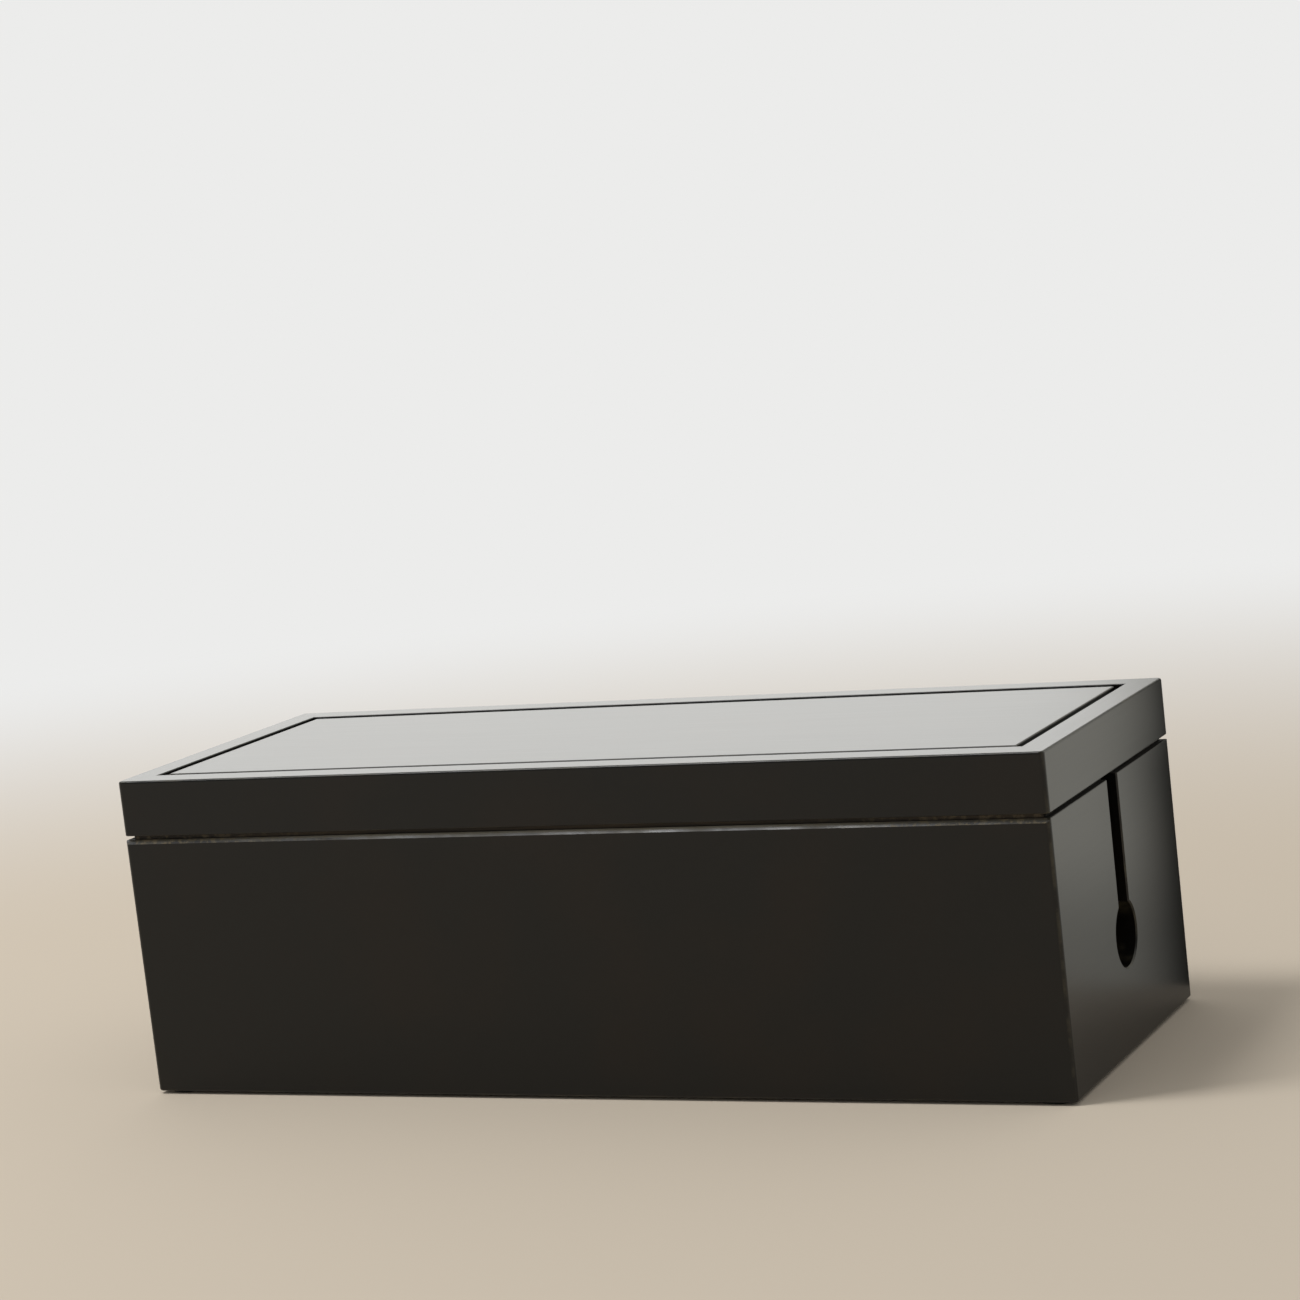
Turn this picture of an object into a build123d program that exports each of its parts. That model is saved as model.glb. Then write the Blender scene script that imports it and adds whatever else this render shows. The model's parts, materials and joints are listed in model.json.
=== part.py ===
"""Cable management box: a mitred wooden box with a loose framed lid and a cable keyhole in each end.

Millimetres. +X runs along the front to the right, +Y to the back, +Z up. The origin is the centre of the
footprint, at the level that the rubber feet stand on.
"""
from build123d import *
import os

# Overall sizes
width = 400.0
depth = 152.0
body_height = 106.5        # outer faces of the box walls, without the lip
lid_height = 23.0

# Boards
wall = 12.0                # box walls and lid rails
bottom_thickness = 6.0
bottom_rebate = 6.0        # how far the bottom panel reaches under the walls
panel_thickness = 6.0
strip_thickness = 5.0

# Shadow gap between box and lid: the lid rests on a lip that is set in from the outer faces
lip_height = 1.8
lip_inset = 2.5

# Lid panel
panel_recess = 0.25        # panel below the top of the rails
groove_width = 3.4         # shadow groove between panel and rails
groove_depth = 2.0

# Locating strips under the lid
strip_reach = 5.0          # below the underside of the rails
strip_lead = 1.5           # chamfer that guides the strips into the box

# Cable keyholes
hole_diameter = 26.0
hole_height = 45.0         # hole centre above the bottom edge of the walls
slot_width = 12.5

# Feet
foot_height = 1.2
foot_diameter = 16.0
foot_inset = 10.0          # foot centre from both outer faces
foot_arris = 0.4           # chamfer round the lower edge of a foot

# Eased edges
corner_radius = 2.0        # upright corners of box and lid
rim_bevel = 1.6            # 45 degree bevel along the front and back of the box, under the lid
rim_arris = 0.4            # upper outer edge of the box at its ends
base_arris = 1.0           # lower outer edge of the box
lid_arris = 1.0            # upper outer edge of the lid
lid_lower_arris = 0.5      # lower outer edge of the lid
rail_arris = 0.5           # inner upper edge of the rails
panel_arris = 0.6          # edge of the raised field of the panel
keyhole_arris = 0.6

# Clearances
panel_fit = 0.2            # bottom panel and lid panel in their frames, each side
strip_fit = 1.0            # locating strips inside the box walls, each side
cut_overrun = 1.0          # how far a cutter passes the face that it opens

# Places that follow from the sizes
half_width, half_depth = width / 2, depth / 2
inner_width, inner_depth = width - 2 * wall, depth - 2 * wall
base_level = foot_height
rim_level = base_level + body_height
lid_level = rim_level + lip_height
top_level = lid_level + lid_height
panel_top = top_level - panel_recess
panel_base = panel_top - panel_thickness
hole_level = base_level + hole_height

sides = {"front": (0, -1), "back": (0, 1), "left": (-1, 0), "right": (1, 0)}

os.makedirs("parts", exist_ok=True)


def save(piece, name):
    """Label a finished piece and write it to its own file."""
    piece.label = name
    export_step(piece, f"parts/{name}.step")


def board_planes(out_x, out_y):
    """Planes round the board that faces (out_x, out_y): the middle of the box and its two 45 degree mitres."""
    planes = [Plane(origin=(0, 0, 0), z_dir=(out_x, out_y, 0))]
    for turn in (-1, 1):
        along_x, along_y = -turn * out_y, turn * out_x
        corner = (half_width * (out_x + along_x), half_depth * (out_y + along_y), 0)
        planes.append(Plane(origin=corner, z_dir=(out_x - along_x, out_y - along_y, 0)))
    return planes


def keyhole_outline():
    """Round hole with a straight slot that runs up and out of the top of the wall."""
    with Locations((0, hole_level)):
        Circle(hole_diameter / 2)
        Rectangle(slot_width, lid_level - hole_level + cut_overrun, align=(Align.CENTER, Align.MIN))


# Keyhole cutter: the same opening through both ends, with its outer edges eased
with BuildPart() as keyhole_cutter:
    with BuildSketch(Plane.YZ):
        keyhole_outline()
    extrude(amount=half_width)
    with BuildSketch(Plane.YZ.offset(half_width - keyhole_arris)):
        keyhole_outline()
    extrude(amount=keyhole_arris + cut_overrun, taper=-45)
    mirror(about=Plane.YZ)

# Box carcass, shaped as one ring and then cut into its four mitred walls
with BuildPart() as carcass:
    with BuildSketch(Plane.XY.offset(base_level)):
        RectangleRounded(width, depth, corner_radius)
    extrude(amount=body_height)
    fillet(carcass.faces().sort_by(Axis.Z)[-1].edges(), radius=rim_arris)
    fillet(carcass.faces().sort_by(Axis.Z)[0].edges(), radius=base_arris)
    with BuildSketch(Plane.YZ.offset(-half_width)):
        with BuildLine():
            Polyline(
                (half_depth + cut_overrun, rim_level - rim_bevel - cut_overrun),
                (half_depth + cut_overrun, rim_level + cut_overrun),
                (half_depth - rim_bevel - cut_overrun, rim_level + cut_overrun),
                close=True,
            )
        make_face()
        mirror(about=Plane.YZ)
    extrude(amount=width, mode=Mode.SUBTRACT)
    with BuildSketch(Plane.XY.offset(rim_level)):
        RectangleRounded(width - 2 * lip_inset, depth - 2 * lip_inset, corner_radius)
    extrude(amount=lip_height)
    with BuildSketch(Plane.XY.offset(base_level)):
        Rectangle(inner_width, inner_depth)
    extrude(amount=body_height + lip_height, mode=Mode.SUBTRACT)
    with BuildSketch(Plane.XY.offset(base_level)):
        Rectangle(inner_width + 2 * bottom_rebate, inner_depth + 2 * bottom_rebate)
    extrude(amount=bottom_thickness, mode=Mode.SUBTRACT)
    add(keyhole_cutter.part, mode=Mode.SUBTRACT)

for side, direction in sides.items():
    with BuildPart() as box_wall:
        add(carcass.part)
        for cut in board_planes(*direction):
            split(bisect_by=cut, keep=Keep.TOP)
    save(box_wall.part, f"{side}_wall")

# Bottom panel, flush with the lower edges of the walls
with BuildPart() as bottom_panel:
    with BuildSketch(Plane.XY.offset(base_level)):
        Rectangle(
            inner_width + 2 * (bottom_rebate - panel_fit),
            inner_depth + 2 * (bottom_rebate - panel_fit),
        )
    extrude(amount=bottom_thickness)
save(bottom_panel.part, "bottom_panel")

# Rubber feet under the four corners
for side_y, end_y in (("front", -1), ("back", 1)):
    for side_x, end_x in (("left", -1), ("right", 1)):
        with BuildPart() as foot:
            with BuildSketch(Plane.XY):
                with Locations((end_x * (half_width - foot_inset), end_y * (half_depth - foot_inset))):
                    Circle(foot_diameter / 2)
            extrude(amount=foot_height)
            chamfer(foot.edges().group_by(Axis.Z)[0], length=foot_arris)
        save(foot.part, f"foot_{side_y}_{side_x}")

# Lid frame, shaped as one ring and then cut into its four mitred rails
with BuildPart() as lid_frame:
    with BuildSketch(Plane.XY.offset(lid_level)):
        RectangleRounded(width, depth, corner_radius)
    extrude(amount=lid_height)
    fillet(lid_frame.faces().sort_by(Axis.Z)[-1].edges(), radius=lid_arris)
    fillet(lid_frame.faces().sort_by(Axis.Z)[0].edges(), radius=lid_lower_arris)
    with BuildSketch(Plane.XY.offset(lid_level)):
        Rectangle(inner_width, inner_depth)
    extrude(amount=lid_height, mode=Mode.SUBTRACT)
    top_face = lid_frame.faces().filter_by(Axis.Z).sort_by(Axis.Z)[-1]
    fillet(top_face.inner_wires()[0].edges(), radius=rail_arris)

for side, direction in sides.items():
    with BuildPart() as lid_rail:
        add(lid_frame.part)
        for cut in board_planes(*direction):
            split(bisect_by=cut, keep=Keep.TOP)
    save(lid_rail.part, f"lid_{side}_rail")

# Lid panel: its edge is rebated, so that a dark groove is left between its field and the rails
with BuildPart() as lid_panel:
    with BuildSketch(Plane.XY.offset(panel_base)):
        Rectangle(inner_width - 2 * panel_fit, inner_depth - 2 * panel_fit)
    extrude(amount=panel_thickness - groove_depth)
    with BuildSketch(Plane.XY.offset(panel_top - groove_depth)):
        Rectangle(inner_width - 2 * groove_width, inner_depth - 2 * groove_width)
    extrude(amount=groove_depth)
    fillet(lid_panel.edges().group_by(Axis.Z)[-1], radius=panel_arris)
save(lid_panel.part, "lid_panel")

# Strips inside the lid frame: they carry the panel, and their lower ends drop inside the box walls
for side, (out_x, out_y) in sides.items():
    is_long = out_x == 0
    run = inner_width if is_long else inner_depth - 2 * strip_thickness
    rail_face = (out_x * inner_width / 2, out_y * inner_depth / 2, 0)
    inward = (-out_x, -out_y, 0)
    with BuildPart() as lid_strip:
        with BuildSketch(Plane(origin=rail_face, x_dir=inward, z_dir=(-out_y, out_x, 0))):
            with BuildLine():
                Polyline(
                    (0, panel_base),
                    (0, lid_level),
                    (strip_fit, lid_level),
                    (strip_fit, lid_level - strip_reach + strip_lead),
                    (strip_fit + strip_lead, lid_level - strip_reach),
                    (strip_thickness, lid_level - strip_reach),
                    (strip_thickness, panel_base),
                    close=True,
                )
            make_face()
        extrude(amount=run / 2, both=True)
    save(lid_strip.part, f"lid_{side}_strip")
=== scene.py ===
import bpy
import bmesh
import json
from math import radians
from mathutils import Matrix, Vector


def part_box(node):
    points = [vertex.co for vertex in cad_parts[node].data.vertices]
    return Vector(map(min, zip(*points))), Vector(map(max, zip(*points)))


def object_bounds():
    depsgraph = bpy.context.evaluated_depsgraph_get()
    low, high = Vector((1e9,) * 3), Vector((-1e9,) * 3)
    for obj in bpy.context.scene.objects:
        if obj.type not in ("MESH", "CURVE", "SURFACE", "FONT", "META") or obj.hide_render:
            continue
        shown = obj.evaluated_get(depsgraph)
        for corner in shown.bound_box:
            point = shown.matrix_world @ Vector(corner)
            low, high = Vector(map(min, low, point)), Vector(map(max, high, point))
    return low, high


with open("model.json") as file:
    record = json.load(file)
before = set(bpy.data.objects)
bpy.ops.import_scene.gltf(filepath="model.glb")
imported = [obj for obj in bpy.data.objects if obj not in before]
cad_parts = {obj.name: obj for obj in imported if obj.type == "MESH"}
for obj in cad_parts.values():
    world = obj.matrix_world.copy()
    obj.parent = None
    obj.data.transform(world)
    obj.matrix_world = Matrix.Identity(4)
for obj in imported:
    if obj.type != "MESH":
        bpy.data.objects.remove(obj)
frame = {"nodes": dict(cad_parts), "record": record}
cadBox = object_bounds()
nodes = frame["nodes"]
scene = bpy.context.scene
millimetre = 0.001
print("frame loaded:", len(nodes), "CAD nodes")


def linearColour(hexCode):
    # sRGB hex to the linear RGBA that a socket takes
    channels = [int(hexCode[i:i + 2], 16) / 255 for i in (1, 3, 5)]
    linear = [c / 12.92 if c <= 0.04045 else ((c + 0.055) / 1.055) ** 2.4 for c in channels]
    return linear + [1.0]


def addNode(tree, kind, settings=None, inputs=None):
    # an input is given a value, a hex colour, or the output socket that feeds it
    node = tree.nodes.new(kind)
    for name, value in (settings or {}).items():
        setattr(node, name, value)
    for socket, value in (inputs or {}).items():
        if isinstance(value, bpy.types.NodeSocket):
            tree.links.new(value, node.inputs[socket])
        elif isinstance(value, str):
            node.inputs[socket].default_value = linearColour(value)
        else:
            node.inputs[socket].default_value = value
    return node


def maths(tree, operation, *values):
    inputs = dict(enumerate(values))
    return addNode(tree, "ShaderNodeMath", {"operation": operation}, inputs).outputs[0]


def ramp(tree, value, start, end, low=0.0, high=1.0, kind="SMOOTHSTEP"):
    # goes from low to high while the value goes from start to end
    inputs = {"Value": value, "From Min": start, "From Max": end, "To Min": low, "To Max": high}
    return addNode(tree, "ShaderNodeMapRange", {"interpolation_type": kind}, inputs).outputs[0]


def mixColours(tree, amount, under, over):
    # a mix node takes its colours at sockets 6 and 7, and its plain values at 2 and 3
    inputs = {0: amount, 6: under, 7: over}
    return addNode(tree, "ShaderNodeMix", {"data_type": "RGBA"}, inputs).outputs[2]


def mixValues(tree, amount, first, second):
    inputs = {0: amount, 2: first, 3: second}
    return addNode(tree, "ShaderNodeMix", {"data_type": "FLOAT"}, inputs).outputs[0]


def splitAxes(tree, vector):
    return addNode(tree, "ShaderNodeSeparateXYZ", {}, {0: vector}).outputs


def unsignedAxes(tree, vector):
    unsigned = addNode(tree, "ShaderNodeVectorMath", {"operation": "ABSOLUTE"}, {0: vector})
    return splitAxes(tree, unsigned.outputs[0])


def noise(tree, vector, size, detail, roughness=0.5, distortion=0.0):
    # size is the width of its spots in metres
    inputs = {"Vector": vector, "Scale": 1 / size, "Detail": detail, "Roughness": roughness,
              "Distortion": distortion}
    return addNode(tree, "ShaderNodeTexNoise", {}, inputs).outputs[0]


def spots(tree, vector, levels, most=1.0, **pattern):
    # noise that is cut between two of its levels
    return ramp(tree, noise(tree, vector, **pattern), *levels, high=most)


def newMaterial(name):
    material = bpy.data.materials.new(name)
    material.use_nodes = True
    material.node_tree.nodes.clear()
    return material, material.node_tree


def endMaterial(tree, shader):
    addNode(tree, "ShaderNodeOutputMaterial", {}, {"Surface": shader.outputs[0]})


def endFinish(tree, settings, colour, roughness, relief):
    bump = addNode(tree, "ShaderNodeBump", {},
                   {"Strength": settings["reliefStrength"], "Distance": settings["reliefHeight"],
                    "Height": relief})
    shader = addNode(tree, "ShaderNodeBsdfPrincipled", {},
                     {"Base Color": colour, "Roughness": roughness, "IOR": settings["ior"],
                      "Normal": bump.outputs[0]})
    endMaterial(tree, shader)


def stageMesh(name, bm):
    mesh = bpy.data.meshes.new(name)
    bm.to_mesh(mesh)
    bm.free()
    piece = bpy.data.objects.new(name, mesh)
    scene.collection.objects.link(piece)
    return piece


cameraSettings = {
    "place": (0.6049, -1.2334, 0.3508),
    "azimuth": 25.68,      # degrees, turned left from +Y
    "pitch": -7.73,        # looks down a little
    "roll": -6.49,
    "lens": 94.95,
    "sensor": 36.0,
    "clip": (0.05, 100.0),
}


def makeCamera(settings):
    data = bpy.data.cameras.new("camera")
    data.lens = settings["lens"]
    data.sensor_width = settings["sensor"]
    data.clip_start, data.clip_end = settings["clip"]
    camera = bpy.data.objects.new("camera", data)
    turn = (
        Matrix.Rotation(radians(settings["azimuth"]), 4, "Z")
        @ Matrix.Rotation(radians(90 + settings["pitch"]), 4, "X")
        @ Matrix.Rotation(radians(settings["roll"]), 4, "Z")
    )
    camera.matrix_world = Matrix.Translation(settings["place"]) @ turn
    scene.collection.objects.link(camera)
    scene.camera = camera


makeCamera(cameraSettings)
print("camera placed")

backdropColour = "#ececeb"     # the floor fades into it, and the camera sees it behind

worldSettings = {
    "roomColour": "#ebeae2",           # what gloss sees of the room
    "ambient": 0.62,                   # strength of the light that falls on surfaces
    "dimRoom": 0.22,                   # strength that gloss sees on the side behind the camera
    "brightSide": (-0.45, 0.89, 0.0),  # towards the lit backdrop
    "sideLevels": (-0.25, 0.55),       # how far round to that side the room brightens
}


def makeWorld(settings):
    world = bpy.data.worlds.new("studio")
    world.use_nodes = True
    scene.world = world
    tree = world.node_tree
    tree.nodes.clear()
    path = addNode(tree, "ShaderNodeLightPath").outputs
    way = addNode(tree, "ShaderNodeTexCoord").outputs["Generated"]
    side = addNode(tree, "ShaderNodeVectorMath", {"operation": "DOT_PRODUCT"},
                   {0: way, 1: settings["brightSide"]})
    gloss = ramp(tree, side.outputs["Value"], *settings["sideLevels"], low=settings["dimRoom"])
    reflected = maths(tree, "MAXIMUM", path["Is Glossy Ray"], path["Is Transmission Ray"])
    strength = mixValues(tree, reflected, settings["ambient"], gloss)
    strength = maths(tree, "MAXIMUM", path["Is Camera Ray"], strength)
    tint = mixColours(tree, reflected, backdropColour, settings["roomColour"])
    shade = addNode(tree, "ShaderNodeBackground", {}, {"Color": tint, "Strength": strength})
    addNode(tree, "ShaderNodeOutputWorld", {}, {"Surface": shade.outputs[0]})


floorSettings = {
    "colour": "#cfc3b2",
    "radius": 40.0,
    "segments": 64,
    "fadeCentre": (0.0, -0.45, 0.0),
    "fade": (0.75, 1.9),       # metres from that centre where it starts to fade and has faded
}


def makeFloor(settings):
    bm = bmesh.new()
    bmesh.ops.create_circle(bm, cap_ends=True, segments=settings["segments"],
                            radius=settings["radius"])
    floor = stageMesh("studio_floor", bm)
    material, tree = newMaterial("painted_floor")
    place = addNode(tree, "ShaderNodeTexCoord").outputs["Object"]
    distance = addNode(tree, "ShaderNodeVectorMath", {"operation": "DISTANCE"},
                       {0: place, 1: settings["fadeCentre"]})
    fade = ramp(tree, distance.outputs["Value"], *settings["fade"])
    near = addNode(tree, "ShaderNodeBsdfDiffuse", {}, {"Color": settings["colour"]})
    far = addNode(tree, "ShaderNodeEmission", {}, {"Color": backdropColour})
    shader = addNode(tree, "ShaderNodeMixShader", {},
                     {0: fade, 1: near.outputs[0], 2: far.outputs[0]})
    endMaterial(tree, shader)
    floor.data.materials.append(material)


cardSettings = {
    "colour": "#fffdf1",
    "start": 0.202,                 # its near edge, just past the right end of the box
    "length": 1.2,
    "height": 0.8,
    "behind": 0.097,
    "glow": 1.0,
    "rise": (0.001, 0.037),         # from the near edge, where its glow starts and is complete
    "levels": (0.015, 0.07),        # the glow is full above them
    "lowGlow": 0.6,                 # share of the glow that is left below them
    "highLevels": (0.088, 0.115),   # the near edge glows a little above them
    "highGlow": 0.25,
    "highRise": (0.003, 0.011),
}


def makeSideCard(settings):
    # a glowing card, no lamp, behind the right end that only gloss sees: it gives the end board a
    # painted reflection, which falls off towards the back, and its dim near edge is painted shade
    bm = bmesh.new()
    bmesh.ops.create_grid(bm, x_segments=1, y_segments=1, size=0.5)
    bmesh.ops.scale(bm, vec=(settings["length"], settings["height"], 1.0), verts=bm.verts)
    bmesh.ops.rotate(bm, matrix=Matrix.Rotation(radians(90), 3, "X"), verts=bm.verts)
    middle = settings["start"] + settings["length"] / 2
    centre = (middle, settings["behind"], settings["height"] / 2)
    bmesh.ops.translate(bm, vec=centre, verts=bm.verts)
    card = stageMesh("side_card", bm)
    material, tree = newMaterial("glowing_reflection_card")
    axes = splitAxes(tree, addNode(tree, "ShaderNodeTexCoord").outputs["Object"])
    rise = [settings["start"] + step for step in settings["rise"]]
    highRise = [settings["start"] + step for step in settings["highRise"]]
    # painted shade: the glow is dimmer low down and at its near edge, like a wall in the box's
    # shadow
    low = ramp(tree, axes[2], *settings["levels"], low=settings["glow"] * settings["lowGlow"],
               high=settings["glow"])
    high = ramp(tree, axes[2], *settings["highLevels"], high=settings["highGlow"])
    high = maths(tree, "MULTIPLY", high, ramp(tree, axes[0], *highRise))
    glow = mixValues(tree, ramp(tree, axes[0], *rise), high, low)
    shader = addNode(tree, "ShaderNodeEmission", {},
                     {"Color": settings["colour"], "Strength": glow})
    endMaterial(tree, shader)
    card.data.materials.append(material)
    card.visible_camera = False
    card.visible_diffuse = False
    card.visible_transmission = False
    card.visible_shadow = False


aimPoint = (0.0, 0.0, 0.08)
lampSettings = [
    {"name": "overhead_softbox", "place": (-1.18, -0.66, 2.75), "size": (0.6, 1.5), "watts": 46.0},
    {"name": "back_softbox", "place": (-1.8, 2.48, 1.0), "size": (2.5, 1.3), "watts": 13.6},
]


def makeLamps(lamps):
    for lamp in lamps:
        data = bpy.data.lights.new(lamp["name"], "AREA")
        data.shape = "RECTANGLE"
        data.size, data.size_y = lamp["size"]
        data.energy = lamp["watts"]
        light = bpy.data.objects.new(lamp["name"], data)
        aim = Vector(aimPoint) - Vector(lamp["place"])
        turn = aim.to_track_quat("-Z", "Y").to_matrix().to_4x4()
        light.matrix_world = Matrix.Translation(lamp["place"]) @ turn
        scene.collection.objects.link(light)


makeWorld(worldSettings)
makeFloor(floorSettings)
makeSideCard(cardSettings)
makeLamps(lampSettings)
scene.view_settings.view_transform = "Standard"
print("stage and lights set")

lacquerSettings = {
    "colour": "#0b0c0b",        # black lacquer
    "thinColour": "#120e0a",    # where the coat is thinner and the stained board shows through
    "thinSpots": {"size": 55 * millimetre, "detail": 2.0, "levels": (0.42, 0.70)},
    "roughness": 0.28,
    "roughnessSwing": 0.006,    # more and less of it, with the grain
    "grainMiddle": (0.3, 0.7),  # levels of the grain over which it swings
    "ior": 1.41,
    "reliefStrength": 0.12,
    "reliefHeight": 0.02 * millimetre,
    "peel": {"size": 2.4 * millimetre, "detail": 1.0},
    "grainRelief": 0.5,         # height of the grain against that of the orange peel
    "grainWidth": 1.3 * millimetre,
    "grainLength": 60 * millimetre,
    "grainDetail": 3.0,
    "streakLevels": (0.38, 0.68),
    "insideColour": "#292219",  # stained wood inside the box and the lid
    "insideStreak": "#3a3023",
    "easedFacing": (0.97, 0.82),       # a face between two axes is an eased edge
    "wornColour": "#58523f",    # stained wood that shows through at a rubbed edge
    "wornRoughness": 0.25,      # added there
    "wornSpots": {"size": 14.2857 * millimetre, "detail": 5.0, "roughness": 0.65,
                  "levels": (0.42, 0.68), "most": 0.4},
}
rimSettings = {
    "rubbedRoughness": 0.24,    # added where the bevel was rubbed down
    "rubbedSpots": {"size": 22 * millimetre, "detail": 5.0, "roughness": 0.6,
                    "levels": (0.36, 0.66), "most": 0.7},
    "wearMiddle": 40 * millimetre,     # least rubbed here, a little right of the middle
    "wearReach": (100 * millimetre, 150 * millimetre),     # from there, where it starts and is full
    "paintedHighlightColour": "#6f6b60",    # painted highlight: a pale colour on the upper half of the bevel, standing in for its sheen
    "paleReach": (0.3, 0.7),    # shares of the bevel's height, where it starts and is full
    "chipColour": "#645944",    # stained wood in the chips, towards the corners
    "chipSpots": {"size": 2.6 * millimetre, "detail": 4.0, "roughness": 0.6,
                  "levels": (0.46, 0.64)},
    "chipReach": (0.35, 0.95),  # shares of the half width, where they start and are full
    "scuffColour": "#9c8c6c",   # raw wood on the upright face of the lip, where the stain wore off
    "scuffs": 0.25,             # how much of it shows, against the chips in the bevel
    "uprightFacing": 0.5,       # an upright face points up less than this
}
longBoards = {
    "name": "satin_black_lacquer_long_boards",
    "grainAxis": 0,             # along X
    "bareColour": "#1e1810",    # stained wood with no lacquer on it
    "bareStreak": "#33291b",
    "bareRoughness": 0.62,
    "rimWearAndHighlight": 0.75,            # how far the rim is rubbed down towards the ends of the board
    "rimPaintedHighlight": 1.0,             # how strong the painted highlight on the upper half of its bevel is
}
endBoards = {
    "name": "satin_black_lacquer_end_boards",
    "grainAxis": 1,             # along Y
    "bareColour": "#0d0a07",    # painted shade: darker and rougher than on the long boards, so the gap along the ends reads black
    "bareStreak": "#1a140d",
    "bareRoughness": 0.88,
    "rimWearAndHighlight": 0.0,
    "rimPaintedHighlight": 0.0,
}
endBoardNames = ("left_wall", "right_wall", "lid_left_rail", "lid_right_rail")

skin = 0.3 * millimetre            # slack round a face that a mask picks
sliver = 0.03 * millimetre
belowPanelTop = 2.5 * millimetre   # a little below the floor of the groove
lipHeight = 1.8 * millimetre       # the lid rests on a lip of this height
bevelHeight = 1.6 * millimetre     # along the front and back rim of the box, below the lip
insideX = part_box("lid_right_strip")[1].x + skin
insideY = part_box("lid_back_strip")[1].y + skin
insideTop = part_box("lid_panel")[1].z - belowPanelTop
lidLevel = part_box("lid_front_rail")[0].z
rimLevel = lidLevel - lipHeight
halfWidth = cadBox[1].x


def bareFaces(tree, reach):
    # faces with no lacquer: all that lies inside the box or the lid frame is "inside", and the
    # ledge and lip below the lid are bare as well
    inside = maths(tree, "MULTIPLY", maths(tree, "LESS_THAN", reach[0], insideX),
                   maths(tree, "LESS_THAN", reach[1], insideY))
    inside = maths(tree, "MULTIPLY", inside, maths(tree, "LESS_THAN", reach[2], insideTop))
    lip = maths(tree, "COMPARE", reach[2], rimLevel + lipHeight / 2, lipHeight / 2 + sliver)
    return inside, maths(tree, "MAXIMUM", lip, inside)


def easedEdges(tree, facing, settings):
    # anywhere that the surface faces between two axes
    flat = maths(tree, "MAXIMUM", maths(tree, "MAXIMUM", facing[0], facing[1]), facing[2])
    return ramp(tree, flat, *settings["easedFacing"])


def boardGrain(tree, spot, board, settings):
    # fibres run along the board
    lengths = [settings["grainWidth"]] * 3
    lengths[board["grainAxis"]] = settings["grainLength"]
    stretched = addNode(tree, "ShaderNodeMapping", {},
                        {"Vector": spot, "Scale": [1 / length for length in lengths]})
    return noise(tree, stretched.outputs[0], size=1.0, detail=settings["grainDetail"])


def rimWearAndHighlight(tree, spot, reach, edge, board, settings):
    # the bevel along the rim was sprayed thinly and rubbed down by hand: its sheen comes and goes
    # along the edge and is lost towards the corners, where stained wood shows in small chips; its
    # upper half gets a painted highlight, a pale colour, away from the corners
    bevel = maths(tree, "COMPARE", reach[2], rimLevel - bevelHeight / 2, bevelHeight / 2 + skin)
    bevel = maths(tree, "MULTIPLY", bevel, edge)
    fromMiddle = maths(tree, "SUBTRACT", splitAxes(tree, spot)[0], settings["wearMiddle"])
    fromMiddle = maths(tree, "ABSOLUTE", fromMiddle)
    rubbed = maths(tree, "ADD", spots(tree, spot, **settings["rubbedSpots"]),
                   ramp(tree, fromMiddle, *settings["wearReach"], high=board["rimWearAndHighlight"]))
    chipReach = [halfWidth * share for share in settings["chipReach"]]
    ends = ramp(tree, reach[0], *chipReach, high=board["rimWearAndHighlight"])
    chips = maths(tree, "MULTIPLY", spots(tree, spot, **settings["chipSpots"]), ends)
    paleReach = [rimLevel - bevelHeight * (1 - share) for share in settings["paleReach"]]
    # painted highlight: a pale colour on the upper half of the bevel, standing in for its sheen
    pale = ramp(tree, reach[2], *paleReach, high=board["rimPaintedHighlight"])
    return {
        "rubbed": maths(tree, "MULTIPLY", bevel, rubbed),
        "chips": chips,
        "chipped": maths(tree, "MULTIPLY", bevel, chips),
        "pale": mixValues(tree, ends, maths(tree, "MULTIPLY", pale, bevel), 0.0),
    }


def bareWood(tree, streaks, inside, scuffs, board, settings, rim):
    outer = mixColours(tree, streaks, board["bareColour"], board["bareStreak"])
    outer = mixColours(tree, scuffs, outer, rim["scuffColour"])
    within = mixColours(tree, streaks, settings["insideColour"], settings["insideStreak"])
    return mixColours(tree, inside, outer, within)


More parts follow.
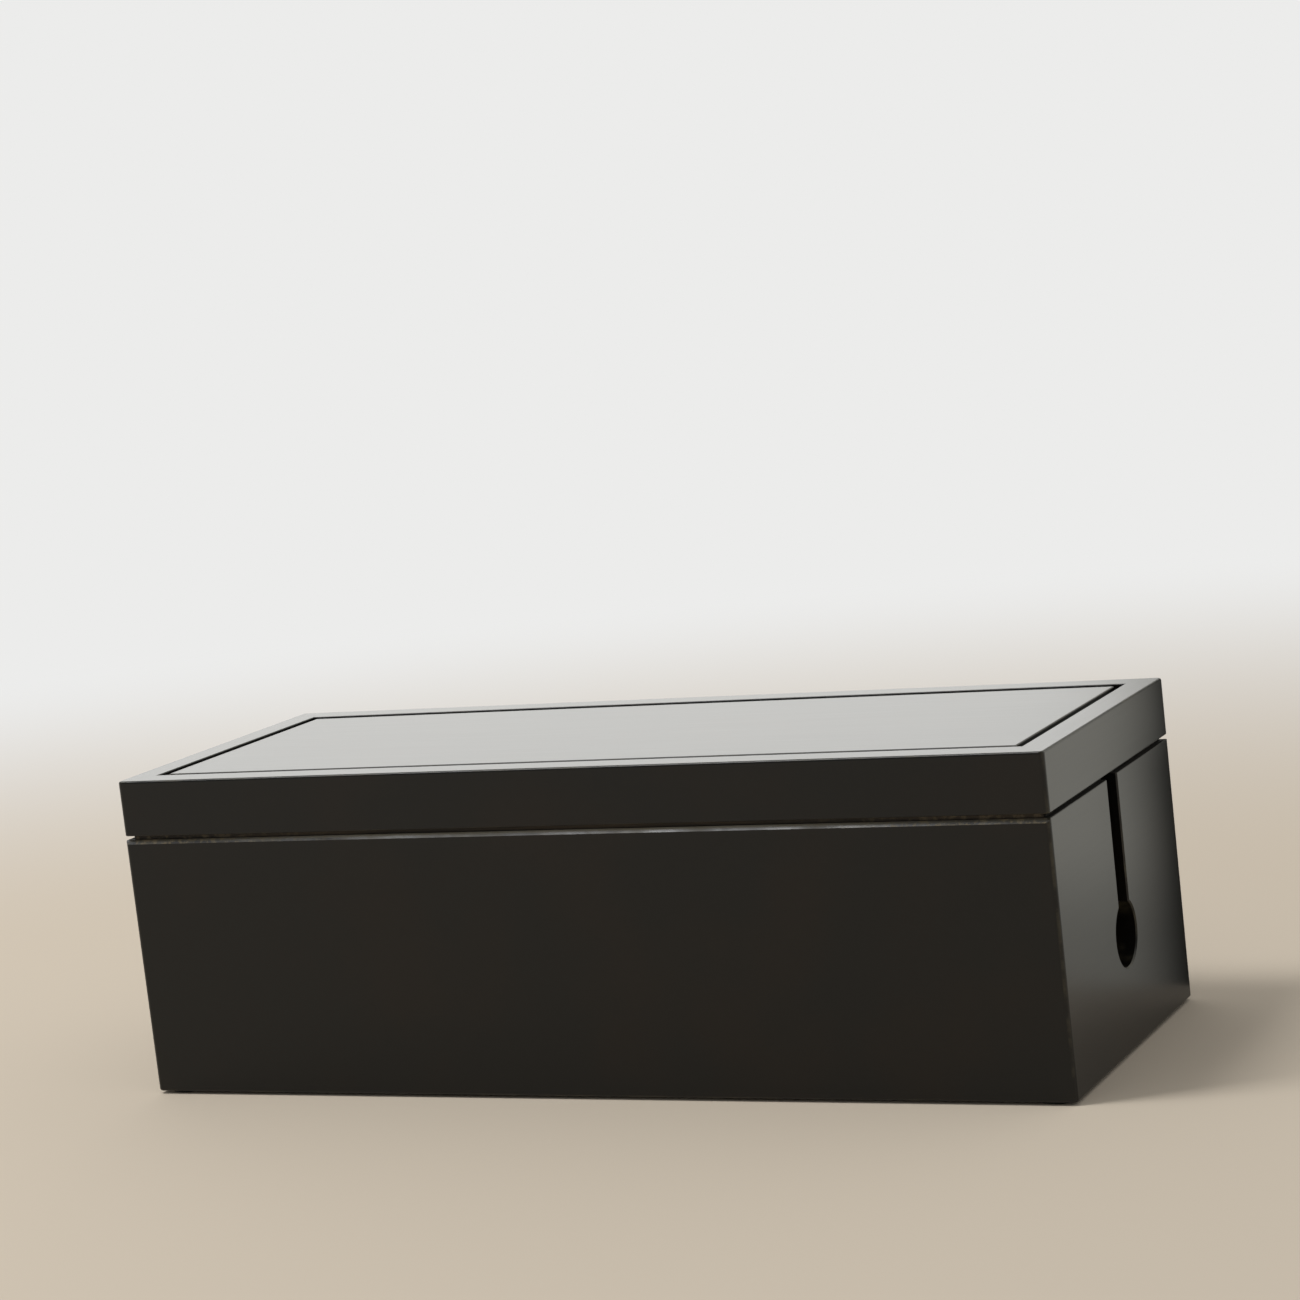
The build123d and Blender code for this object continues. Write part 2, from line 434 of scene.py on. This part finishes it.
def blackLacquer(board, settings, rim):
    # satin black lacquer sprayed over stained boards: a smooth dark film with a soft, clear
    # reflection, faint orange peel over faint grain, thin and a little brown at the eased edges
    material, tree = newMaterial(board["name"])
    place = addNode(tree, "ShaderNodeTexCoord").outputs
    spot = place["Object"]
    reach = unsignedAxes(tree, spot)
    facing = unsignedAxes(tree, place["Normal"])
    inside, bare = bareFaces(tree, reach)
    edge = easedEdges(tree, facing, settings)
    fibres = boardGrain(tree, spot, board, settings)
    wearAndHighlight = rimWearAndHighlight(tree, spot, reach, edge, board, rim)
    worn = maths(tree, "MULTIPLY", edge, spots(tree, spot, **settings["wornSpots"]))
    worn = maths(tree, "MAXIMUM", worn, wearAndHighlight["chipped"])

    colour = mixColours(tree, spots(tree, spot, **settings["thinSpots"]), settings["colour"],
                        settings["thinColour"])
    # painted highlight along the upper half of the rim's bevel
    colour = mixColours(tree, wearAndHighlight["pale"], colour, rim["paintedHighlightColour"])
    colour = mixColours(tree, worn, colour, settings["wornColour"])
    colour = mixColours(tree, wearAndHighlight["chipped"], colour, rim["chipColour"])
    upright = maths(tree, "LESS_THAN", facing[2], rim["uprightFacing"])
    scuffs = maths(tree, "MULTIPLY", maths(tree, "MULTIPLY", wearAndHighlight["chips"], upright), rim["scuffs"])
    streaks = ramp(tree, fibres, *settings["streakLevels"])
    wood = bareWood(tree, streaks, inside, scuffs, board, settings, rim)
    colour = mixColours(tree, bare, colour, wood)

    swing = settings["roughnessSwing"]
    gloss = ramp(tree, fibres, *settings["grainMiddle"], low=settings["roughness"] - swing,
                 high=settings["roughness"] + swing, kind="LINEAR")
    gloss = maths(tree, "MULTIPLY_ADD", wearAndHighlight["rubbed"], rim["rubbedRoughness"], gloss)
    gloss = maths(tree, "MULTIPLY_ADD", worn, settings["wornRoughness"], gloss)
    gloss = mixValues(tree, bare, gloss, board["bareRoughness"])

    peel = noise(tree, spot, **settings["peel"])
    relief = maths(tree, "MULTIPLY_ADD", fibres, settings["grainRelief"], peel)
    endFinish(tree, settings, colour, gloss, relief)
    return material


boardSettings = {
    "colour": "#221d17",
    "fleckColour": "#372e23",
    "flecks": {"size": 1.1 * millimetre, "detail": 6.0, "roughness": 0.7, "distortion": 1.5},
    "fleckLevels": (0.5, 0.75),
    "roughness": 0.70,
    "ior": 1.45,
    "reliefStrength": 0.5,
    "reliefHeight": 0.06 * millimetre,
}


def stainedBoard(settings):
    # thin fibre board, dyed black-brown: matt, with short paler flecks pressed flat into the face
    material, tree = newMaterial("stained_fibre_board")
    spot = addNode(tree, "ShaderNodeTexCoord").outputs["Object"]
    flecks = noise(tree, spot, **settings["flecks"])
    amount = ramp(tree, flecks, *settings["fleckLevels"])
    colour = mixColours(tree, amount, settings["colour"], settings["fleckColour"])
    endFinish(tree, settings, colour, settings["roughness"], flecks)
    return material


rubberSettings = {
    "colour": "#1a1a1b",
    "dustColour": "#3c3934",
    "grit": {"size": 0.8 * millimetre, "detail": 3.0},
    "dustLevels": (0.55, 0.8),
    "dust": 0.5,
    "roughness": 0.78,
    "ior": 1.5,
    "reliefStrength": 0.6,
    "reliefHeight": 0.05 * millimetre,
}


def footRubber(settings):
    # moulded black rubber: matt, a fine pebbled skin that holds a little grey dust
    material, tree = newMaterial("moulded_black_rubber")
    spot = addNode(tree, "ShaderNodeTexCoord").outputs["Object"]
    grit = noise(tree, spot, **settings["grit"])
    amount = ramp(tree, grit, *settings["dustLevels"], high=settings["dust"])
    colour = mixColours(tree, amount, settings["colour"], settings["dustColour"])
    endFinish(tree, settings, colour, settings["roughness"], grit)
    return material


# the end boards' lacquer has a darker bare lip: painted shade, so the gap along the ends reads
# black
endLacquer = blackLacquer(endBoards, lacquerSettings, rimSettings)
finishes = {
    "black_lacquer": blackLacquer(longBoards, lacquerSettings, rimSettings),
    "stained_board": stainedBoard(boardSettings),
    "foot_rubber": footRubber(rubberSettings),
}
for part in frame["record"]["subparts"]:
    mesh = nodes[part["node"]].data
    mesh.materials.clear()
    mesh.materials.append(finishes[part["material_slot"]])
for name in endBoardNames:
    nodes[name].data.materials[0] = endLacquer
print("finishes given")
